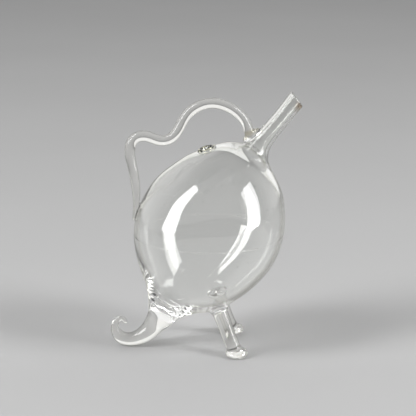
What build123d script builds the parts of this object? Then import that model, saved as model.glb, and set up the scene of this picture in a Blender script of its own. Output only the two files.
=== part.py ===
"""Free-blown glass pouring flask standing on two legs and a curled tail.

Millimetres.  The origin is on the table below the middle of the object's box, +Z is up and
+X points the way the spout pours.  The spout, the handle and the tail lie in the plane Y = 0
and the two legs mirror each other across it.  Nodes named left are on the +Y side.
"""
import os

from build123d import *

# Bulb: a blown egg turned about a leaning axis.  Outlines are (distance up the axis, radius).
BULB_CENTRE = (2.5, 0, 92.4)
BULB_LEAN = 61.0
BULB_RADIUS = 55.2
BULB_NOSE = 80.0
BULB_OUTLINE = [(-74.0, 12.6), (-63.0, 22.0), (-51.0, 35.4), (-36.0, 47.0), (-14.0, 54.3),
                (4.0, BULB_RADIUS), (24.0, 51.7), (39.0, 44.4), (51.5, 35.2), (61.0, 24.6)]
NECK_HEIGHT = 67.5
NECK_RADIUS = 16.6
NECK_SLOPE = 1.05

# Cavity: the wall thickens towards the nose and where the narrow bore leaves the bulb
CAVITY_NOSE = 70.0
CAVITY_OUTLINE = [(-66.0, 11.0), (-58.0, 22.0), (-48.0, 33.2), (-34.0, 44.4), (-14.0, 51.6),
                  (4.0, 53.2), (24.0, 49.8), (39.0, 42.2), (51.0, 32.6), (60.0, 21.6)]
CAVITY_HEIGHT = 66.5
CAVITY_MOUTH = 9.0
CAVITY_SLOPE = 2.6
BORE_RADIUS = 5.0

# Spout: (x, z, outer radius) along its middle, from the neck to just past the mouth
SPOUT_STATIONS = [(38.4, 157.0, 11.2), (41.6, 161.2, 9.0), (44.8, 165.2, 7.8), (48.4, 169.6, 7.1),
                  (54.1, 176.6, 6.8), (60.1, 184.2, 6.8), (66.1, 191.8, 7.0), (72.1, 199.4, 7.2)]
MOUTH_CENTRE = (67.9, 0, 193.9)
MOUTH_LEAN = 37.0

# Filler: a fire-polished hole in the top of the bulb, with its normal's lean above +X
FILLER_POINT = (-0.9, 0, 155.2)
FILLER_LEAN = 106.0
FILLER_RADIUS = 3.7
RIM_RADIUS = 5.1
RIM_BEAD = 1.4

# Handle: (x, z, radius) along a solid rod, from the spout round to the flattened tip
HANDLE_STATIONS = [(33.2, 164.5, 4.1), (31.8, 169.9, 3.9), (29.0, 176.9, 3.9), (22.6, 184.1, 4.0),
                   (13.6, 189.2, 4.0), (4.2, 191.0, 4.0), (-4.6, 189.2, 4.0), (-12.6, 184.2, 4.0),
                   (-18.3, 176.6, 4.0), (-22.4, 169.0, 4.0), (-27.6, 164.0, 4.0), (-34.6, 162.8, 4.0),
                   (-41.6, 165.2, 4.1), (-48.2, 166.3, 4.1), (-54.2, 164.0, 4.0), (-57.4, 157.4, 3.9),
                   (-57.2, 149.6, 3.8), (-55.6, 141.6, 3.6), (-54.2, 133.4, 3.4), (-53.3, 124.6, 3.1),
                   (-53.2, 115.6, 2.5), (-54.0, 108.2, 1.9), (-55.4, 101.6, 1.3)]
HANDLE_TIP_START = 18
SEAL_CENTRE = (34.2, 0, 166.0)
SEAL_LEAN = 42.0
SEAL_RADII = (8.4, 5.2, 3.4)

# Tail: (x, z, radius) along a solid curl, from the nose of the bulb to its tip
TAIL_STATIONS = [(-33.6, 28.2, 13.2), (-35.9, 23.2, 10.8), (-39.7, 18.2, 8.6), (-43.4, 13.4, 7.6),
                 (-48.4, 9.0, 6.7), (-54.0, 6.3, 5.8), (-60.4, 5.1, 5.2), (-66.8, 7.0, 4.8),
                 (-70.4, 12.0, 3.8), (-70.9, 17.0, 2.9), (-69.0, 20.9, 2.3), (-65.6, 22.2, 1.9),
                 (-62.9, 19.7, 1.7)]
TAIL_CURL_START = 3

# Legs, given on the +Y side, each with a flared collar and a squashed foot with a toe
LEG_ROOT = (8.8, 18.8, 35.0)
LEG_FOOT = (20.9, 26.4, 3.4)
LEG_TOP_RADIUS = 6.0
LEG_FOOT_RADIUS = 5.3
COLLAR_RADIUS = 8.4
COLLAR_HEIGHT = 8.0
COLLAR_DROP = 10.0
PAD_CENTRE = (21.9, 27.0)
PAD_RADIUS = 8.0
PAD_THICKNESS = 4.4
PAD_ROUND = 1.9
TOE_REACH = 4.2
TOE_RADII = (4.4, 5.6, 3.7)

AXIS_Y = (0, 1, 0)


def leaning_plane(origin, lean):
    """A plane whose normal leans up from +X by lean degrees."""
    normal = Vector(1, 0, 0).rotate(Axis.Y, -lean)
    return Plane(origin=origin, x_dir=AXIS_Y, z_dir=normal)


def tapered_rods(stations, split):
    """A round rod through (x, z, radius) stations, in two lengths that meet at one station."""
    points = [Vector(x, 0, z) for x, z, _ in stations]
    path = Spline(points)
    rings = []
    for point, station in zip(points, stations):
        tangent = path.tangent_at(path.param_at_point(point))
        rings.append(Plane(origin=point, x_dir=AXIS_Y, z_dir=tangent) * Circle(station[2]))
    return loft(rings[:split + 1]), loft(rings[split:])


def turned(nose, outline, top, top_radius, slope):
    """A solid turned about Z, from a nose point through an outline to a flat top."""
    start = (0, 0, -nose)
    rim = (top_radius, 0, top)
    points = [start] + [(radius, 0, z) for z, radius in outline] + [rim]
    curve = Spline(points, tangents=[(1, 0, 0), (-slope, 0, 1)])
    edges = [curve, Line(rim, (0, 0, top)), Line((0, 0, top), start)]
    return revolve(make_face(edges), Axis.Z)


def bead(frame, radii):
    """A flattened ball in a frame."""
    return frame * scale(Sphere(1), by=radii)


BULB_FRAME = leaning_plane(BULB_CENTRE, BULB_LEAN)
FILLER_FRAME = leaning_plane(FILLER_POINT, FILLER_LEAN)
NECK_END = BULB_FRAME.from_local_coords((0, 0, NECK_HEIGHT))


def bulb_outside():
    """The bulb up to the neck as one full solid."""
    return BULB_FRAME * turned(BULB_NOSE, BULB_OUTLINE, NECK_HEIGHT, NECK_RADIUS, NECK_SLOPE)


def make_bulb(outside):
    """The blown shell, with the narrow bore to the spout and the filler hole."""
    hollow = turned(CAVITY_NOSE, CAVITY_OUTLINE, CAVITY_HEIGHT, CAVITY_MOUTH, CAVITY_SLOPE)
    bore = Cylinder(BORE_RADIUS, 2 * NECK_HEIGHT - 2 * CAVITY_HEIGHT)
    drill = Cylinder(FILLER_RADIUS, 20)
    return outside - BULB_FRAME * (hollow + Pos(0, 0, NECK_HEIGHT) * bore) - FILLER_FRAME * drill


def spout_along(radii):
    """A full solid along the spout, with a radius for every ring, cut off at the slanted mouth."""
    points = [Vector(NECK_END)] + [Vector(x, 0, z) for x, z, _ in SPOUT_STATIONS]
    path = Spline(points, tangents=[BULB_FRAME.z_dir, points[-1] - points[-2]])
    rings = []
    for point, radius in zip(points, radii):
        tangent = path.tangent_at(path.param_at_point(point))
        rings.append(Plane(origin=point, x_dir=AXIS_Y, z_dir=tangent) * Circle(radius))
    beyond = leaning_plane(MOUTH_CENTRE, MOUTH_LEAN) * Pos(0, 0, 20) * Box(60, 60, 40)
    return loft(rings) - beyond


def make_rim(outside):
    """The thick bead round the filler hole, seated on the bulb."""
    return FILLER_FRAME * Torus(RIM_RADIUS, RIM_BEAD) - outside


def leg_frame(side):
    """Origin at the leg's root, normal up the leg."""
    root = Vector(LEG_ROOT[0], side * LEG_ROOT[1], LEG_ROOT[2])
    foot = Vector(LEG_FOOT[0], side * LEG_FOOT[1], LEG_FOOT[2])
    return Plane(origin=root, z_dir=root - foot), (root - foot).length


def make_foot(side):
    """The squashed foot: a round pad with a thicker toe, flat underneath."""
    centre = Pos(PAD_CENTRE[0], side * PAD_CENTRE[1], PAD_THICKNESS / 2)
    disc = Cylinder(PAD_RADIUS, PAD_THICKNESS)
    disc = fillet(disc.edges().filter_by(GeomType.CIRCLE), PAD_ROUND)
    toe_frame = Plane(origin=(PAD_CENTRE[0] + TOE_REACH, side * PAD_CENTRE[1], TOE_RADII[2]))
    return centre * disc + bead(toe_frame, TOE_RADII)


def make_leg(side, foot):
    """The solid leg from the bottom of its collar to the foot."""
    frame, length = leg_frame(side)
    height = length - COLLAR_DROP
    rod = Cone(LEG_FOOT_RADIUS, LEG_TOP_RADIUS, height)
    return frame * Pos(0, 0, -COLLAR_DROP - height / 2) * rod - foot


def make_collar(side, outside):
    """The flare where the leg was sealed on, hollow-sided and seated on the bulb."""
    frame, _ = leg_frame(side)
    low = (LEG_TOP_RADIUS, 0, -COLLAR_DROP)
    high = (COLLAR_RADIUS, 0, COLLAR_HEIGHT - COLLAR_DROP)
    flank = Spline([low, high], tangents=[(0, 0, 1), (1, 0, 1.2)])
    above = (COLLAR_RADIUS, 0, COLLAR_HEIGHT)
    edges = Polyline(high, above, (0, 0, above[2]), (0, 0, low[2]), low)
    return frame * revolve(make_face([flank, edges]), Axis.Z) - outside


def make_seal(outside, spout):
    """The pad of glass where the handle is fused along the root of the spout."""
    frame = leaning_plane(SEAL_CENTRE, SEAL_LEAN)
    return bead(frame, (SEAL_RADII[1], SEAL_RADII[2], SEAL_RADII[0])) - outside - spout


def make_parts():
    outside = bulb_outside()
    spout = spout_along([NECK_RADIUS] + [radius for _, _, radius in SPOUT_STATIONS])
    bore = spout_along([BORE_RADIUS] * (1 + len(SPOUT_STATIONS)))
    seal = make_seal(outside, spout)
    rod, tip = tapered_rods(HANDLE_STATIONS, HANDLE_TIP_START)
    root, curl = tapered_rods(TAIL_STATIONS, TAIL_CURL_START)
    below = Pos(0, 0, -10) * Box(400, 400, 20)
    parts = {
        "body_bulb": make_bulb(outside),
        "spout_tube": spout - bore,
        "filler_rim": make_rim(outside),
        "handle_seal_pad": seal,
        "handle_rod": rod - seal - outside - spout,
        "handle_flattened_tip": tip - outside,
        "tail_root": root - outside,
        "tail_curl": curl - below,
    }
    for name, side in (("left", 1), ("right", -1)):
        foot = make_foot(side)
        parts["foot_pad_" + name] = foot
        parts["leg_" + name] = make_leg(side, foot)
        parts["leg_collar_" + name] = make_collar(side, outside)
    return parts


def save_parts():
    os.makedirs("parts", exist_ok=True)
    for name, shape in make_parts().items():
        export_step(shape, f"parts/{name}.step")
        box = shape.bounding_box()
        print(name, len(shape.solids()), "solids", round(shape.volume, 1), box.min, box.max)


save_parts()
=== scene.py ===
"""Looks of the blown-glass pouring flask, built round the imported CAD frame.

The whole flask is described as one smooth distance field, in millimetres in the CAD frame, so that
the fused seals flow into one another as melted glass does.  The field's surface is meshed once and
then parted at the seals into the separate pieces.
"""
import math
import random

import bmesh
import bpy
import numpy as np
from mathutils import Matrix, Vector
from mathutils.geometry import tessellate_polygon


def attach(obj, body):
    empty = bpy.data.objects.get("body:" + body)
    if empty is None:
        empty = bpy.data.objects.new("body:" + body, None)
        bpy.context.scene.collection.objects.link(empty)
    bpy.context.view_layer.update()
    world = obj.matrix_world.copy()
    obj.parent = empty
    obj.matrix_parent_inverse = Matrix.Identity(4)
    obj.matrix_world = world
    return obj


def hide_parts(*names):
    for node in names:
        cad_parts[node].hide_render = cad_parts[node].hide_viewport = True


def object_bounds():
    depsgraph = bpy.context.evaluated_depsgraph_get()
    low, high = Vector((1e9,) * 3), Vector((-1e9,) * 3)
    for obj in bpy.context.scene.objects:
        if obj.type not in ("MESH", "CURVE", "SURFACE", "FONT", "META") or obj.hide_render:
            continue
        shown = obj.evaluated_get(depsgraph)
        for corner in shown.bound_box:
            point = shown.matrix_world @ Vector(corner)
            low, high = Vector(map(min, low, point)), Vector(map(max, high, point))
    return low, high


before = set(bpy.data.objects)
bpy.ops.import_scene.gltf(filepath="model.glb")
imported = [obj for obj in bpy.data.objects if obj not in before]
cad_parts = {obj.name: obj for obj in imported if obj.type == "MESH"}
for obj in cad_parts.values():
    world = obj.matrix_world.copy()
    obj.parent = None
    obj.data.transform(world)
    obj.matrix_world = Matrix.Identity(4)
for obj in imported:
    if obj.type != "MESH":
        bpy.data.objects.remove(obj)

CAD_BOX = [list(corner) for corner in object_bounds()]

MM = 0.001

# Bulb: radii from its centre and wall thickness, every 15 degrees from the neck end to the nose.
# Its upper and lower sides differ a little.
BULB_CENTRE = np.array([2.5, 0.0, 92.4])
BULB_LEAN = math.radians(61.0)
UPPER_RADII = [72.0, 70.4, 64.3, 60.2, 57.6, 57.2, 56.6, 57.3, 58.0, 59.1, 61.5, 68.6, 79.0]
LOWER_RADII = [72.0, 66.5, 63.0, 59.4, 56.8, 55.5, 54.8, 54.5, 55.6, 58.6, 62.7, 68.6, 79.0]
WALL_THICKNESS = [5.0, 3.4, 2.4, 1.9, 1.7, 1.7, 1.7, 1.8, 1.9, 2.2, 2.9, 4.6, 8.5]

# Rods and tubes: (x, y, z, radius) along their middles
SPOUT = [(31.0, 0, 144.0, 11.0), (36.6, 0, 153.0, 9.2), (41.2, 0, 160.2, 8.0), (45.0, 0, 165.4, 7.3),
         (49.0, 0, 170.4, 6.9), (54.2, 0, 176.7, 6.8), (60.2, 0, 184.3, 6.8), (66.2, 0, 191.9, 7.0),
         (72.2, 0, 199.5, 7.4)]
BORE = [(29.4, 0, 140.9, 13.0), (35.2, 0, 151.4, 10.4), (39.6, 0, 158.6, 7.0), (43.2, 0, 163.2, 5.4),
        (48.6, 0, 170.0, 4.9), (54.2, 0, 176.7, 4.8), (60.2, 0, 184.3, 4.8), (66.2, 0, 191.9, 5.0),
        (75.0, 0, 203.0, 5.5)]
MOUTH_CENTRE = np.array([67.9, 0.0, 193.9])
MOUTH_LEAN = math.radians(37.0)

HANDLE = [(33.2, 0, 165.6, 3.9), (31.8, 0, 169.9, 3.7), (29.0, 0, 176.9, 3.8), (22.6, 0, 184.1, 3.9),
          (13.6, 0, 189.2, 4.0), (4.2, 0, 191.0, 4.0), (-4.6, 0, 189.2, 4.0), (-12.6, 0, 184.2, 4.0),
          (-18.3, 0, 176.6, 4.0), (-22.4, 0, 169.0, 4.0), (-27.6, 0, 164.0, 4.0), (-34.6, 0, 162.8, 4.0),
          (-41.6, 0, 165.2, 4.1), (-48.2, 0, 166.3, 4.1), (-54.2, 0, 164.0, 4.0), (-57.4, 0, 157.4, 3.9),
          (-57.2, 0, 149.6, 3.8), (-55.6, 0, 141.6, 3.6), (-54.2, 0, 133.4, 3.4), (-53.3, 0, 124.6, 3.1),
          (-53.2, 0, 115.6, 2.5), (-54.0, 0, 108.2, 1.9), (-55.2, 0, 102.6, 1.3)]
SEAL_PAD = [(29.2, 0, 163.0, 1.6), (31.8, 0, 164.9, 2.9), (35.2, 0, 167.5, 2.9), (38.6, 0, 170.4, 1.5)]

TAIL = [(-31.4, 0, 33.0, 12.6), (-35.9, 0, 23.2, 10.5), (-39.8, 0, 18.2, 8.5), (-43.5, 0, 13.3, 7.5),
        (-48.4, 0, 8.9, 6.7), (-54.0, 0, 6.2, 5.8), (-60.4, 0, 5.2, 5.25), (-66.8, 0, 7.0, 4.8),
        (-70.4, 0, 12.0, 3.8), (-70.9, 0, 17.0, 2.9), (-69.0, 0, 20.9, 2.3), (-65.6, 0, 22.2, 1.9),
        (-62.9, 0, 19.7, 1.7)]

LEG = [(7.0, 15.6, 44.0, 6.2), (9.0, 18.8, 35.0, 6.0), (12.2, 21.0, 26.6, 5.7), (16.4, 23.8, 15.0, 5.4),
       (20.6, 26.3, 4.6, 5.4)]
# Feet: a flat disc with a round edge, and an egg-shaped toe, given on the +Y side
PAD_CENTRE = (21.9, 27.0, 0.0)
PAD_RADIUS = 6.1
PAD_ROUND = 2.1
PAD_FLAT = 0.01
TOE_CENTRE = (26.0, 27.2, 3.5)
TOE_RADII = (4.2, 5.4, 3.5)

# Filler: a hole in the top of the bulb with a bead round it, which is parted from the bulb at its seat
FILLER_POINT = np.array([0.2, 0.0, 156.1])
FILLER_LEAN = math.radians(105.0)
FILLER_RADIUS = 3.9
FILLER_REACH = 12.0
RIM_RADIUS = 5.5
RIM_BEAD = 1.4
RIM_SEAT_LEAN = math.radians(110.0)
RIM_SEAT_HEIGHT = 0.39

# How widely each seal is melted together, and each cut edge is rounded
SPOUT_SEAL = 12.0
TAIL_SEAL = 9.0
LEG_SEAL = 8.0
FOOT_SEAL = 3.0
TOE_SEAL = 2.5
PAD_SEAL = 2.5
HANDLE_SEAL = 1.8
RIM_SEAL = 1.6
BORE_SEAL = 7.0
HOLE_ROUND = 1.6
MOUTH_ROUND = 1.6
SOLE_ROUND = 0.8
EDGE_ROUND = 1.2

# Seeds: tiny air bubbles in the bulb's wall, between two angles off the neck end of its axis
SEED_DRAW = 11
SEED_COUNT = 34
SEED_BELT = (35.0, 140.0)
SEED_RADIUS = (0.2, 0.45)
SEED_STRETCH = (1.1, 2.4)

# Sampling: the grid's cell, its margin in cells, the cells along a block, and how many blocks off the
# surface a block is still worked out closely
CELL = 1.0
GRID_MARGIN = (3.71, 3.43, 3.62)
GRID_SPARE = 4
BLOCK = 4
BLOCK_REACH = 1.6

# A tube's distance is worked out only within its reach.  Further off, it is far.
TUBE_REACH = 14.0
TUBE_SAMPLE = 1.5
FAR = 60.0


def direction(lean):
    """The unit vector that leans up from +X by an angle."""
    return np.array([math.cos(lean), 0.0, math.sin(lean)])


BULB_AXIS = direction(BULB_LEAN)
BULB_UP = direction(BULB_LEAN + math.pi / 2)
FILLER_AXIS = direction(FILLER_LEAN)
MOUTH_AXIS = direction(MOUTH_LEAN)


class Spline:
    """A cubic curve through values at knots, with free ends or with flat ones."""

    def __init__(self, knots, values, flat_ends=False):
        self.knots = np.asarray(knots, float)
        self.values = np.asarray(values, float).reshape(len(self.knots), -1)
        self.slopes = self.solve(flat_ends)

    def solve(self, flat_ends):
        """The slope at each knot that keeps the curvature even from span to span."""
        count = len(self.knots)
        gap = np.diff(self.knots)
        rise = np.diff(self.values, axis=0) / gap[:, None]
        matrix = np.zeros((count, count))
        right = np.zeros_like(self.values)
        for i in range(1, count - 1):
            matrix[i, i - 1] = 1 / gap[i - 1]
            matrix[i, i] = 2 / gap[i - 1] + 2 / gap[i]
            matrix[i, i + 1] = 1 / gap[i]
            right[i] = 3 * (rise[i - 1] / gap[i - 1] + rise[i] / gap[i])
        matrix[0, 0] = matrix[-1, -1] = 1.0
        if not flat_ends:
            matrix[0, 1] = matrix[-1, -2] = 0.5
            right[0] = 1.5 * rise[0]
            right[-1] = 1.5 * rise[-1]
        return np.linalg.solve(matrix, right)

    def at(self, where, order=0):
        """The value, or the first or second derivative, at each place in where."""
        i = np.clip(np.searchsorted(self.knots, where, side="right") - 1, 0, len(self.knots) - 2)
        gap = (self.knots[i + 1] - self.knots[i])[:, None]
        u = (where - self.knots[i])[:, None] / gap
        start, end = self.values[i], self.values[i + 1]
        leave, arrive = self.slopes[i] * gap, self.slopes[i + 1] * gap
        if order == 0:
            return ((1 + 2 * u) * (1 - u) ** 2 * start + u * (1 - u) ** 2 * leave
                    + u * u * (3 - 2 * u) * end + u * u * (u - 1) * arrive)
        if order == 1:
            return (6 * u * (u - 1) * (start - end) + (1 - u) * (1 - 3 * u) * leave
                    + u * (3 * u - 2) * arrive) / gap
        return ((12 * u - 6) * (start - end) + (6 * u - 4) * leave + (6 * u - 2) * arrive) / gap ** 2


class Tube:
    """Distance to a round tube whose radius changes along a smooth curve."""

    def __init__(self, stations, mirror=False):
        stations = np.array(stations, float)
        if mirror:
            stations[:, 1] *= -1
        steps = np.linalg.norm(np.diff(stations[:, :3], axis=0), axis=1)
        self.curve = Spline(np.concatenate([[0.0], np.cumsum(steps)]), stations)
        self.length = self.curve.knots[-1]
        self.samples = np.linspace(0.0, self.length, int(self.length / TUBE_SAMPLE) + 2)
        self.points = self.curve.at(self.samples)[:, :3]
        reach = stations[:, 3].max() + TUBE_REACH
        self.low = self.points.min(axis=0) - reach
        self.high = self.points.max(axis=0) + reach

    def nearest(self, points):
        """The place along the curve that is nearest to each point."""
        square = (self.points ** 2).sum(axis=1)
        best = np.argmin(square[None, :] - 2 * points @ self.points.T, axis=1)
        where = self.samples[best]
        for _ in range(3):
            gap = self.curve.at(where)[:, :3] - points
            first = self.curve.at(where, 1)[:, :3]
            second = self.curve.at(where, 2)[:, :3]
            top = (gap * first).sum(axis=1)
            bottom = (first * first).sum(axis=1) + (gap * second).sum(axis=1)
            where = np.clip(where - top / np.maximum(bottom, 0.2), 0.0, self.length)
        return where

    def __call__(self, points):
        distance = np.full(len(points), FAR)
        near = ((points > self.low) & (points < self.high)).all(axis=1)
        if near.any():
            close = points[near]
            found = self.curve.at(self.nearest(close))
            distance[near] = np.linalg.norm(close - found[:, :3], axis=1) - found[:, 3]
        return distance


def blend(one, other, width):
    """The union of two distances, melted together over a width."""
    overlap = np.maximum(width - np.abs(one - other), 0.0) / width
    return np.minimum(one, other) - overlap ** 3 * width / 6


def carve(one, other, width):
    """What is in both distances, with the edge between them rounded over a width."""
    return -blend(-one, -other, width)


BULB_ANGLES = np.radians(np.arange(13) * 15.0)
UPPER = Spline(BULB_ANGLES, UPPER_RADII, flat_ends=True)
LOWER = Spline(BULB_ANGLES, LOWER_RADII, flat_ends=True)
WALL = Spline(BULB_ANGLES, WALL_THICKNESS, flat_ends=True)


def bulb_polar(points):
    """Distance from the bulb's centre, its outer radius that way, and its wall there."""
    offset = points - BULB_CENTRE
    along = offset @ BULB_AXIS
    up = offset @ BULB_UP
    across = np.hypot(up, offset[:, 1])
    angle = np.arctan2(across, along)
    side = up / np.maximum(across, 1e-6)
    upper, lower = UPPER.at(angle)[:, 0], LOWER.at(angle)[:, 0]
    radius = (upper + lower) / 2 + (upper - lower) / 2 * side
    return np.sqrt(along ** 2 + across ** 2), radius, WALL.at(angle)[:, 0]


def ellipsoid(points, centre, radii):
    """Approximate distance to an ellipsoid."""
    scaled = (points - np.array(centre)) / np.array(radii)
    size = np.linalg.norm(scaled, axis=1)
    slope = np.linalg.norm(scaled / np.array(radii), axis=1)
    return size * (size - 1) / np.maximum(slope, 1e-6)


def foot(points, side):
    """The squashed foot pad and its toe, on one side."""
    flip = np.array([1.0, side, 1.0])
    local = points - np.array(PAD_CENTRE) * flip
    past_edge = np.maximum(np.hypot(local[:, 0], local[:, 1]) - PAD_RADIUS, 0.0)
    past_face = np.maximum(np.abs(local[:, 2] - PAD_ROUND) - PAD_FLAT, 0.0)
    pad = np.hypot(past_edge, past_face) - PAD_ROUND
    return blend(pad, ellipsoid(points, np.array(TOE_CENTRE) * flip, TOE_RADII), TOE_SEAL)


SPOUT_TUBE = Tube(SPOUT)
BORE_TUBE = Tube(BORE)
HANDLE_TUBE = Tube(HANDLE)
SEAL_TUBE = Tube(SEAL_PAD)
TAIL_TUBE = Tube(TAIL)
LEG_TUBES = {1: Tube(LEG), -1: Tube(LEG, mirror=True)}


def filler_polar(points):
    """Height above the filler's middle along its axis, and distance from the axis."""
    offset = points - FILLER_POINT
    height = offset @ FILLER_AXIS
    across = offset - height[:, None] * FILLER_AXIS
    return height, np.linalg.norm(across, axis=1)


def outside(points):
    """Distance to the flask's outer skin."""
    distance, radius, _ = bulb_polar(points)
    skin = distance - radius
    skin = blend(skin, SPOUT_TUBE(points), SPOUT_SEAL)
    skin = blend(skin, TAIL_TUBE(points), TAIL_SEAL)
    for side, tube in LEG_TUBES.items():
        leg = blend(tube(points), foot(points, side), FOOT_SEAL)
        skin = blend(skin, leg, LEG_SEAL)
    height, across = filler_polar(points)
    rim = np.hypot(height, across - RIM_RADIUS) - RIM_BEAD
    skin = blend(skin, rim, RIM_SEAL)
    handle = blend(HANDLE_TUBE(points), SEAL_TUBE(points), PAD_SEAL)
    skin = blend(skin, handle, HANDLE_SEAL)
    skin = carve(skin, (points - MOUTH_CENTRE) @ MOUTH_AXIS, MOUTH_ROUND)
    return carve(skin, -points[:, 2], SOLE_ROUND)


def inside(points):
    """Distance to the hollow: the cavity, the bore of the spout and the filler hole."""
    distance, radius, wall = bulb_polar(points)
    hollow = blend(distance - radius + wall, BORE_TUBE(points), BORE_SEAL)
    height, across = filler_polar(points)
    drill = np.maximum(across - FILLER_RADIUS, np.abs(height) - FILLER_REACH)
    return blend(hollow, drill, HOLE_ROUND)


def glass(points):
    """Distance to the glass itself: under zero in the glass."""
    return carve(outside(points), -inside(points), EDGE_ROUND)


def gradient(points, step=0.02):
    """The field's value and its slope, from four points close round each point."""
    corners = np.array([(1, 1, 1), (1, -1, -1), (-1, 1, -1), (-1, -1, 1)], float)
    values = [glass(points + corner * step) for corner in corners]
    slope = sum(value[:, None] * corner for value, corner in zip(values, corners)) / (4 * step)
    return sum(values) / 4, slope


def in_chunks(function, points, size=120000):
    """What the function gives for all the points, worked out a share at a time."""
    parts = [function(points[i:i + size]) for i in range(0, len(points), size)]
    if isinstance(parts[0], tuple):
        return tuple(np.concatenate(column) for column in zip(*parts))
    return np.concatenate(parts)


def settle(points, rounds=3):
    """Moves points onto the glass surface."""
    for _ in range(rounds):
        value, slope = in_chunks(gradient, points)
        size = np.maximum((slope ** 2).sum(axis=1), 0.25)
        step = (value / size)[:, None] * slope
        length = np.linalg.norm(step, axis=1)[:, None]
        points = points - step * np.minimum(1.0, 0.6 * CELL / np.maximum(length, 1e-9))
    return points


def sample_field():
    """The field on a regular grid, worked out closely only near the surface."""
    low, high = np.array(CAD_BOX) / MM
    low = low - np.array(GRID_MARGIN) * CELL
    blocks = np.ceil((high + GRID_SPARE * CELL - low) / (CELL * BLOCK)).astype(int)
    grid = np.stack(np.meshgrid(*[np.arange(n) for n in blocks], indexing="ij"), axis=-1)
    grid = grid.reshape(-1, 3)
    middles = low + (grid + 0.5) * BLOCK * CELL
    coarse = in_chunks(glass, middles)
    field = coarse.reshape(blocks)
    for axis in range(3):
        field = np.repeat(field, BLOCK, axis=axis)
    field = field.copy()
    close = grid[np.abs(coarse) < BLOCK * CELL * BLOCK_REACH]
    cells = np.stack(np.meshgrid(*[np.arange(BLOCK)] * 3, indexing="ij"), axis=-1).reshape(-1, 3)
    index = (close[:, None, :] * BLOCK + cells[None, :, :]).reshape(-1, 3)
    field[index[:, 0], index[:, 1], index[:, 2]] = in_chunks(glass, low + index * CELL)
    return low, field


def surface_net(low, field):
    """Vertices and quads of the surface where the sampled field is zero."""
    full = np.array(field.shape)
    solid = field < 0
    total = np.zeros(tuple(full - 1) + (3,))
    count = np.zeros(tuple(full - 1))
    quads = []
    for axis in range(3):
        first, second = (axis + 1) % 3, (axis + 2) % 3
        start = [slice(None)] * 3
        end = [slice(None)] * 3
        start[axis] = slice(0, -1)
        end[axis] = slice(1, None)
        crossed = solid[tuple(start)] != solid[tuple(end)]
        edges = np.argwhere(crossed)
        inner = (edges[:, first] > 0) & (edges[:, second] > 0)
        inner &= (edges[:, first] < full[first] - 1) & (edges[:, second] < full[second] - 1)
        edges = edges[inner]
        there = edges.copy()
        there[:, axis] += 1
        a = field[tuple(edges.T)]
        b = field[tuple(there.T)]
        point = edges.astype(float)
        point[:, axis] += a / (a - b)
        corners = []
        for back_first, back_second in ((1, 1), (0, 1), (0, 0), (1, 0)):
            cell = edges.copy()
            cell[:, first] -= back_first
            cell[:, second] -= back_second
            np.add.at(total, tuple(cell.T), point)
            np.add.at(count, tuple(cell.T), 1)
            corners.append(np.ravel_multi_index(tuple(cell.T), tuple(full - 1)))
        quad = np.stack(corners, axis=1)
        quads.append(np.where((a < 0)[:, None], quad, quad[:, ::-1]))
    used = np.flatnonzero(count.ravel())
    renumber = np.full(count.size, -1)
    renumber[used] = np.arange(len(used))
    vertices = low + CELL * (total.reshape(-1, 3)[used] / count.ravel()[used][:, None])
    return vertices, renumber[np.concatenate(quads)]


def on_bulb_axis(height):
    """A point on the bulb's axis, at a height above its centre."""
    return BULB_CENTRE + BULB_AXIS * height


def tube_seam(tube, where, reach):
    """A cut square across a tube at a place along it."""
    place = np.array([where])
    middle = tube.curve.at(place)[0, :3]
    along = tube.curve.at(place, 1)[0, :3]
    return middle, along / np.linalg.norm(along), reach


def make_seams():
    """The planes where the pieces part, as a middle, a normal and a reach."""
    seams = [
        # the neck, the filler's rim and the nose, on the bulb
        (on_bulb_axis(67.5), BULB_AXIS, 24.0),
        (FILLER_POINT + FILLER_AXIS * RIM_SEAT_HEIGHT, direction(RIM_SEAT_LEAN), 8.3),
        (on_bulb_axis(-78.0), -BULB_AXIS, 18.0),
        # across the tail, and across the handle where it thins and just above its seal pad
        tube_seam(TAIL_TUBE, TAIL_TUBE.curve.knots[3], 12.0),
        tube_seam(HANDLE_TUBE, HANDLE_TUBE.curve.knots[18], 8.0),
        tube_seam(HANDLE_TUBE, 4.6, 7.0),
        # the seal pad's underside along the spout, and the handle tip's side against the bulb
        (np.array([33.6, 0.0, 166.6]), np.array([-0.587, 0.0, 0.81]), 9.8),
        (np.array([-53.3, 0.0, 105.4]), np.array([-0.945, 0.0, 0.328]), 10.0),
    ]
    for side, tube in LEG_TUBES.items():
        # above and below the collar, and the top of the foot
        seams.append(tube_seam(tube, 12.0, 11.0))
        seams.append(tube_seam(tube, 20.5, 10.0))
        middle = np.array([PAD_CENTRE[0], side * PAD_CENTRE[1], 7.9])
        seams.append((middle, np.array([0.0, 0.0, -1.0]), 10.5))
    return seams


# Points on each piece's skin, outer and inner where it has both, by which the parted surface is named
PIECE_POINTS = {
    "body_bulb": [(2.5, -56.0, 92.4), (2.5, -54.0, 92.4)],
    "spout_tube": [(54.2, -6.8, 176.7)],
    "filler_rim": [(-0.3, -5.5, 157.3)],
    "handle_seal_pad": [(32.0, -3.2, 167.6)],
    "handle_rod": [(4.2, -4.0, 191.0)],
    "handle_flattened_tip": [(-55.8, 0.0, 112.0)],
    "tail_root": [(-38.6, -8.2, 17.4)],
    "tail_curl": [(-60.6, -4.9, 5.1)],
}
for side_name, side_sign in (("left", 1), ("right", -1)):
    PIECE_POINTS["leg_collar_" + side_name] = [(10.9, side_sign * 26.4, 29.6)]
    PIECE_POINTS["leg_" + side_name] = [(16.4, side_sign * 29.2, 15.0)]
    PIECE_POINTS["foot_pad_" + side_name] = [(21.9, side_sign * 35.1, 2.1)]


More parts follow.
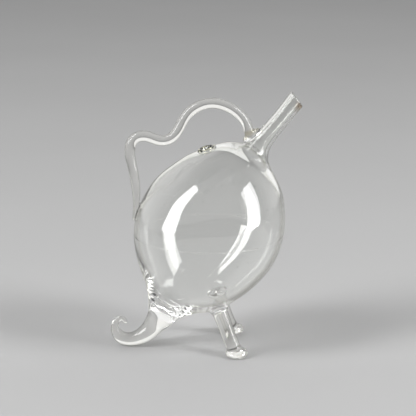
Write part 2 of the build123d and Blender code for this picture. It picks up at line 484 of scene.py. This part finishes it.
def cut_seams(mesh, seams):
    """Cuts the surface along every seam, and returns each cut edge's seam number."""
    cuts = {}
    for number, (middle, normal, reach) in enumerate(seams):
        middle = Vector(middle)
        faces = [f for f in mesh.faces if (f.calc_center_median() - middle).length < reach]
        geometry = set(faces)
        for face in faces:
            geometry.update(face.verts)
            geometry.update(face.edges)
        result = bmesh.ops.bisect_plane(mesh, geom=list(geometry), dist=1e-5, plane_co=middle,
                                        plane_no=Vector(normal))
        for item in result["geom_cut"]:
            if isinstance(item, bmesh.types.BMEdge):
                cuts[item] = number
    return cuts


def flood(start, name, owner, cuts):
    """Gives a name to every face that is reached from one face without crossing a cut."""
    owner[start] = name
    queue = [start]
    while queue:
        for edge in queue.pop().edges:
            if edge in cuts:
                continue
            for face in edge.link_faces:
                if face not in owner:
                    owner[face] = name
                    queue.append(face)


def part_surface(vertices, quads):
    """Cuts the surface at the seams and returns its mesh, the cuts and each face's piece."""
    data = bpy.data.meshes.new("whole_surface")
    data.from_pydata(vertices.tolist(), [], quads.tolist())
    whole = bmesh.new()
    whole.from_mesh(data)
    bpy.data.meshes.remove(data)
    cuts = cut_seams(whole, make_seams())
    owner = {}
    for name, points in PIECE_POINTS.items():
        for point in points:
            target = Vector(point)
            start = min(whole.faces, key=lambda f: (f.calc_center_median() - target).length_squared)
            if owner.get(start, name) != name:
                raise RuntimeError(f"{name} runs into {owner[start]}: a seam is not closed")
            flood(start, name, owner, cuts)
    if len(owner) != len(whole.faces):
        raise RuntimeError("some of the surface belongs to no piece")
    return whole, cuts, owner


def seam_loops(faces, cuts, owner, name):
    """The closed loops round a piece's open ends, by seam, each in the order that its cap needs."""
    after = {}
    for face in faces:
        for loop in face.loops:
            others = [f for f in loop.edge.link_faces if owner[f] != name]
            if loop.edge in cuts and others:
                after.setdefault(cuts[loop.edge], {})[loop.link_loop_next.vert] = loop.vert
    rings = {}
    for seam, follow in after.items():
        rings[seam] = []
        while follow:
            start, here = follow.popitem()
            ring = [start]
            while here != start:
                ring.append(here)
                here = follow.pop(here)
            rings[seam].append(ring)
    return rings


def cap_triangles(rings, number):
    """Triangles that close a ring, or the band between two rings."""
    flat = [vertex for ring in rings for vertex in ring]
    wanted = {(ring[i], ring[(i + 1) % len(ring)]) for ring in rings for i in range(len(ring))}
    triangles = tessellate_polygon([[vertex.co for vertex in ring] for ring in rings])
    faces = [[flat[i] for i in triangle] for triangle in triangles]
    forward = sum((face[i], face[(i + 1) % 3]) in wanted for face in faces for i in range(3))
    backward = sum((face[(i + 1) % 3], face[i]) in wanted for face in faces for i in range(3))
    if backward > forward:
        faces = [face[::-1] for face in faces]
    return [[number[vertex] for vertex in face] for face in faces]


def seed_bubbles():
    """Points, inward normals and faces of the tiny voids that air left in the bulb's wall."""
    ball = bmesh.new()
    bmesh.ops.create_icosphere(ball, subdivisions=2, radius=1.0)
    unit = np.array([vertex.co[:] for vertex in ball.verts])
    inward = np.array([[vertex.index for vertex in reversed(face.verts)] for face in ball.faces])
    ball.free()
    draw = random.Random(SEED_DRAW)
    side = np.array([0.0, 1.0, 0.0])
    points, normals, faces = [], [], []
    for index in range(SEED_COUNT):
        off_axis = math.radians(draw.uniform(*SEED_BELT))
        turn = math.radians(draw.uniform(0.0, 360.0))
        across = BULB_UP * math.cos(turn) + side * math.sin(turn)
        outward = BULB_AXIS * math.cos(off_axis) + across * math.sin(off_axis)
        _, radius, wall = bulb_polar((BULB_CENTRE + outward * 50.0)[None, :])
        middle = BULB_CENTRE + outward * (radius[0] - wall[0] / 2)
        round_bulb = np.cross(outward, BULB_AXIS)
        round_bulb /= np.linalg.norm(round_bulb)
        axes = np.array([outward, round_bulb, np.cross(outward, round_bulb)])
        thin = draw.uniform(*SEED_RADIUS)
        sizes = np.array([thin, thin, thin * draw.uniform(*SEED_STRETCH)])
        points.append(middle + (unit * sizes) @ axes)
        slope = -(unit / sizes) @ axes
        normals.append(slope / np.linalg.norm(slope, axis=1)[:, None])
        faces.append(inward + index * len(unit))
    return np.concatenate(points), np.concatenate(normals), np.concatenate(faces)


def make_piece(name, faces, cuts, owner):
    """One closed piece of glass, with clear caps where it is fused to its neighbours."""
    number = {}
    for face in faces:
        for vertex in face.verts:
            number.setdefault(vertex, len(number))
    skin = [[number[vertex] for vertex in face.verts] for face in faces]
    caps = []
    for rings in seam_loops(faces, cuts, owner, name).values():
        caps += cap_triangles(rings, number)
    points = settle(np.array([vertex.co[:] for vertex in number], float), rounds=2)
    _, normals = in_chunks(gradient, points)
    normals /= np.linalg.norm(normals, axis=1)[:, None]
    if name == "body_bulb":
        seed_points, seed_normals, seed_faces = seed_bubbles()
        skin += (seed_faces + len(points)).tolist()
        points = np.concatenate([points, seed_points])
        normals = np.concatenate([normals, seed_normals])
    data = bpy.data.meshes.new(name + "_glass")
    data.from_pydata((points * MM).tolist(), [], skin + caps)
    data.polygons.foreach_set("material_index", [0] * len(skin) + [1] * len(caps))
    data.polygons.foreach_set("use_smooth", [True] * (len(skin) + len(caps)))
    data.normals_split_custom_set_from_vertices(normals.tolist())
    piece = bpy.data.objects.new(name + "_glass", data)
    bpy.context.scene.collection.objects.link(piece)
    return piece


def node(tree, kind, inputs=None, **settings):
    """Adds a shader node with its settings and unlinked input values."""
    made = tree.nodes.new(kind)
    for key, value in settings.items():
        setattr(made, key, value)
    for key, value in (inputs or {}).items():
        made.inputs[key].default_value = value
    return made


def new_material(name):
    """A material with an empty node tree."""
    material = bpy.data.materials.new(name)
    material.use_nodes = True
    material.node_tree.nodes.clear()
    return material, material.node_tree


def tide_line(tree, where, height, half_width):
    """One on a thin level line round the bulb, where liquid once stood, and zero away from it."""
    split = node(tree, "ShaderNodeSeparateXYZ")
    offset = node(tree, "ShaderNodeMath", operation="SUBTRACT")
    offset.inputs[1].default_value = height
    away = node(tree, "ShaderNodeMath", operation="ABSOLUTE")
    line = node(tree, "ShaderNodeMapRange", {"From Max": half_width, "To Min": 1.0, "To Max": 0.0},
                interpolation_type="SMOOTHSTEP")
    tree.links.new(where.outputs["Object"], split.inputs["Vector"])
    tree.links.new(split.outputs["Z"], offset.inputs[0])
    tree.links.new(offset.outputs["Value"], away.inputs[0])
    tree.links.new(away.outputs["Value"], line.inputs["Value"])
    return line.outputs["Result"]


# The colour of glass seen edge on, and where it starts to show, from 0 face on to 1 edge on: partly the
# tint of thick glass, partly painted shade that darkens the outline
BLOWN_EDGE_TINT_AND_SHADE = ((0.40, 0.39, 0.28), 0.62)
ROD_EDGE_TINT_AND_SHADE = ((0.12, 0.12, 0.09), 0.2)


def edge_tint_and_painted_shade(tree, colour, shade, start):
    """Deepens the glass's colour where it is seen edge on: partly the tint of its greatest thickness,
    partly painted shade that darkens its outline.
    """
    grazing = node(tree, "ShaderNodeLayerWeight", {"Blend": 0.5})
    rim = node(tree, "ShaderNodeMapRange", {"From Min": start, "From Max": 0.95},
               interpolation_type="SMOOTHSTEP")
    edge_shaded = node(tree, "ShaderNodeMix", data_type="RGBA")
    edge_shaded.inputs["B"].default_value = (*shade, 1.0)
    tree.links.new(grazing.outputs["Facing"], rim.inputs["Value"])
    tree.links.new(rim.outputs["Result"], edge_shaded.inputs["Factor"])
    tree.links.new(colour, edge_shaded.inputs["A"])
    return edge_shaded.outputs["Result"]


def spot_stain(tree, where, colour, middle, reach, shade):
    """Stains the glass round a point."""
    away = node(tree, "ShaderNodeVectorMath", operation="DISTANCE")
    away.inputs[1].default_value = middle
    near = node(tree, "ShaderNodeMapRange", {"From Max": reach, "To Min": 1.0, "To Max": 0.0},
                interpolation_type="SMOOTHSTEP")
    stained = node(tree, "ShaderNodeMix", data_type="RGBA")
    stained.inputs["B"].default_value = (*shade, 1.0)
    tree.links.new(where.outputs["Object"], away.inputs[0])
    tree.links.new(away.outputs["Value"], near.inputs["Value"])
    tree.links.new(near.outputs["Result"], stained.inputs["Factor"])
    tree.links.new(colour, stained.inputs["A"])
    return stained.outputs["Result"]


TIDE_ROUGHNESS = 0.27


def glass_material(name, clear, deep, stria_scale, stria_depth, edge, stain=None, tide=None):
    """Fire-polished glass: a faint tint that drifts, soft smears and the waves left by the flame."""
    material, tree = new_material(name)
    link = tree.links.new
    where = node(tree, "ShaderNodeTexCoord")
    drift = node(tree, "ShaderNodeTexNoise", {"Scale": 22.0, "Detail": 2.0})
    tint = node(tree, "ShaderNodeMix", data_type="RGBA")
    tint.inputs["A"].default_value = (*clear, 1.0)
    tint.inputs["B"].default_value = (*deep, 1.0)
    smear = node(tree, "ShaderNodeTexNoise", {"Scale": 90.0, "Detail": 5.0, "Roughness": 0.6})
    haze = node(tree, "ShaderNodeMapRange", {"From Min": 0.52, "From Max": 0.8, "To Max": 0.04})
    waves = node(tree, "ShaderNodeTexNoise", {"Scale": stria_scale, "Detail": 1.5, "Distortion": 0.6})
    bump = node(tree, "ShaderNodeBump", {"Strength": 0.25, "Distance": stria_depth})
    shader = node(tree, "ShaderNodeBsdfPrincipled", {"IOR": 1.5, "Transmission Weight": 1.0})
    output = node(tree, "ShaderNodeOutputMaterial")
    for texture in (drift, smear, waves):
        link(where.outputs["Object"], texture.inputs["Vector"])
    link(drift.outputs["Fac"], tint.inputs["Factor"])
    link(smear.outputs["Fac"], haze.inputs["Value"])
    link(waves.outputs["Fac"], bump.inputs["Height"])
    colour = tint.outputs["Result"]
    if stain:
        colour = spot_stain(tree, where, colour, *stain)
    # The base colour darkens towards the silhouette: partly the tint of thicker glass, partly painted
    # shade that draws a dark outline.
    link(edge_tint_and_painted_shade(tree, colour, *edge), shader.inputs["Base Color"])
    roughness = haze.outputs["Result"]
    if tide:
        total = node(tree, "ShaderNodeMath", operation="MULTIPLY_ADD")
        total.inputs[1].default_value = TIDE_ROUGHNESS
        link(tide_line(tree, where, *tide), total.inputs[0])
        link(roughness, total.inputs[2])
        roughness = total.outputs["Value"]
    link(roughness, shader.inputs["Roughness"])
    link(bump.outputs["Normal"], shader.inputs["Normal"])
    link(shader.outputs["BSDF"], output.inputs["Surface"])
    return material


def seam_material():
    """Nothing to see: the inside of a fused seal."""
    material, tree = new_material("fused_seal")
    clear = node(tree, "ShaderNodeBsdfTransparent")
    output = node(tree, "ShaderNodeOutputMaterial")
    tree.links.new(clear.outputs["BSDF"], output.inputs["Surface"])
    return material


def build_flask():
    """The 14 pieces of glass, each in the place of its CAD node."""
    low, field = sample_field()
    vertices, quads = surface_net(low, field)
    whole, cuts, owner = part_surface(settle(vertices), quads)
    looks = {
        "body_bulb": glass_material("blown_glass", (0.99, 0.992, 0.985), (0.975, 0.98, 0.965),
                                    26.0, 0.0006, BLOWN_EDGE_TINT_AND_SHADE, tide=(0.0906, 0.0008)),
        "spout_tube": glass_material("spout_glass", (0.985, 0.988, 0.978), (0.965, 0.972, 0.95),
                                     40.0, 0.0003, ROD_EDGE_TINT_AND_SHADE,
                                     stain=((0.0722, -0.001, 0.1890), 0.0100, (0.36, 0.21, 0.08))),
        "handle_seal_pad": glass_material("olive_glass", (0.84, 0.81, 0.69), (0.72, 0.67, 0.52),
                                          90.0, 0.0004, ROD_EDGE_TINT_AND_SHADE),
        "filler_rim": glass_material("straw_glass", (0.72, 0.71, 0.44), (0.58, 0.57, 0.32),
                                     90.0, 0.0003, ROD_EDGE_TINT_AND_SHADE),
    }
    worked = glass_material("worked_glass", (0.985, 0.983, 0.965), (0.96, 0.955, 0.925),
                            45.0, 0.0004, ROD_EDGE_TINT_AND_SHADE)
    seam = seam_material()
    for name in PIECE_POINTS:
        faces = [face for face in whole.faces if owner[face] == name]
        piece = make_piece(name, faces, cuts, owner)
        piece.data.materials.append(looks.get(name, worked))
        piece.data.materials.append(seam)
        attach(piece, "root")
        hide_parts(name)
    whole.free()


FLOOR_REACH = 7.0
FLOOR_HEIGHT = -0.0002


def make_floor():
    """A plain pale floor."""
    data = bpy.data.meshes.new("floor")
    signs = [(-1, -1), (1, -1), (1, 1), (-1, 1)]
    corners = [(x * FLOOR_REACH, y * FLOOR_REACH, FLOOR_HEIGHT) for x, y in signs]
    data.from_pydata(corners, [], [(0, 1, 2, 3)])
    floor = bpy.data.objects.new("floor", data)
    bpy.context.scene.collection.objects.link(floor)
    material, tree = new_material("pale_floor")
    where = node(tree, "ShaderNodeTexCoord")
    mottle = node(tree, "ShaderNodeTexNoise", {"Scale": 3.0, "Detail": 4.0})
    tone = node(tree, "ShaderNodeMix", data_type="RGBA")
    tone.inputs["A"].default_value = (0.50, 0.50, 0.50, 1.0)
    tone.inputs["B"].default_value = (0.54, 0.54, 0.54, 1.0)
    shader = node(tree, "ShaderNodeBsdfPrincipled", {"Roughness": 0.8, "Specular IOR Level": 0.2})
    output = node(tree, "ShaderNodeOutputMaterial")
    tree.links.new(where.outputs["Object"], mottle.inputs["Vector"])
    tree.links.new(mottle.outputs["Fac"], tone.inputs["Factor"])
    tree.links.new(tone.outputs["Result"], shader.inputs["Base Color"])
    tree.links.new(shader.outputs["BSDF"], output.inputs["Surface"])
    data.materials.append(material)


def strip_light(name, angle, distance, width, low, high, power):
    """A tall soft light that stands round the object at an angle from the camera's side."""
    light = bpy.data.lights.new(name, "AREA")
    light.shape = "RECTANGLE"
    light.size = width
    light.size_y = high - low
    light.energy = power
    lamp = bpy.data.objects.new(name, light)
    turn = math.radians(angle)
    lamp.location = (math.sin(turn) * distance, -math.cos(turn) * distance, (low + high) / 2)
    aim = Vector((0.0, 0.0, (low + high) / 2)) - lamp.location
    lamp.rotation_euler = aim.to_track_quat("-Z", "Y").to_euler()
    lamp.visible_camera = False
    bpy.context.scene.collection.objects.link(lamp)


def make_lights():
    """Two strips, one to each side and a little towards the camera."""
    strip_light("left_strip", -67.0, 1.9, 0.76, 0.30, 3.4, 64.0)
    strip_light("right_strip", 65.0, 1.9, 0.72, 0.05, 2.0, 46.0)


LIGHT_BOUNCES = 40
ROOM_COLOUR = (0.05, 0.05, 0.055)
WALL_COLOUR = (0.95, 0.95, 0.94)


def make_world():
    """A studio room: a soft pale wall behind the object, and a dim room in front and overhead."""
    world = bpy.data.worlds.new("studio")
    bpy.context.scene.world = world
    world.use_nodes = True
    tree = world.node_tree
    tree.nodes.clear()
    link = tree.links.new
    where = node(tree, "ShaderNodeTexCoord")
    split = node(tree, "ShaderNodeSeparateXYZ")
    behind = node(tree, "ShaderNodeMapRange", {"From Min": -0.25, "From Max": 0.40},
                  interpolation_type="SMOOTHSTEP")
    below = node(tree, "ShaderNodeMapRange", {"From Min": 0.92, "From Max": 0.65, "To Min": 0.2},
                 interpolation_type="SMOOTHSTEP")
    both = node(tree, "ShaderNodeMath", operation="MULTIPLY")
    light = node(tree, "ShaderNodeMix", data_type="RGBA")
    light.inputs["A"].default_value = (*ROOM_COLOUR, 1.0)
    light.inputs["B"].default_value = (*WALL_COLOUR, 1.0)
    shader = node(tree, "ShaderNodeBackground", {"Strength": 1.0})
    output = node(tree, "ShaderNodeOutputWorld")
    link(where.outputs["Generated"], split.inputs["Vector"])
    link(split.outputs["Y"], behind.inputs["Value"])
    link(split.outputs["Z"], below.inputs["Value"])
    link(behind.outputs["Result"], both.inputs[0])
    link(below.outputs["Result"], both.inputs[1])
    link(both.outputs["Value"], light.inputs["Factor"])
    link(light.outputs["Result"], shader.inputs["Color"])
    link(shader.outputs["Background"], output.inputs["Surface"])


def allow_light_paths():
    """Lets light run on inside thick glass, where few bounces would leave black bands."""
    cycles = bpy.context.scene.cycles
    cycles.max_bounces = LIGHT_BOUNCES
    cycles.glossy_bounces = LIGHT_BOUNCES
    cycles.transmission_bounces = LIGHT_BOUNCES
    cycles.transparent_max_bounces = LIGHT_BOUNCES
    bpy.context.scene.view_settings.view_transform = "Standard"


CAMERA_AZIMUTH = math.radians(-2.0)
CAMERA_ELEVATION = math.radians(15.0)
CAMERA_DISTANCE = 1.1
CAMERA_LENS = 125.15
CAMERA_SENSOR = 36.0
CAMERA_AIM = Vector((0.0022, 0.0, 0.11))


def make_camera():
    """A long lens a little above the flask, with the whole object well inside the frame."""
    low, high = np.array(CAD_BOX)
    target = Vector((low + high) / 2 * np.array([1.0, 1.0, 0.0])) + CAMERA_AIM
    back = Vector((math.sin(CAMERA_AZIMUTH) * math.cos(CAMERA_ELEVATION),
                   -math.cos(CAMERA_AZIMUTH) * math.cos(CAMERA_ELEVATION), math.sin(CAMERA_ELEVATION)))
    camera = bpy.data.objects.new("camera", bpy.data.cameras.new("camera"))
    camera.data.lens = CAMERA_LENS
    camera.data.sensor_width = CAMERA_SENSOR
    camera.location = target + back * CAMERA_DISTANCE
    camera.rotation_euler = (-back).to_track_quat("-Z", "Y").to_euler()
    bpy.context.scene.collection.objects.link(camera)
    bpy.context.scene.camera = camera


make_camera()
make_world()
allow_light_paths()
make_lights()
make_floor()
build_flask()
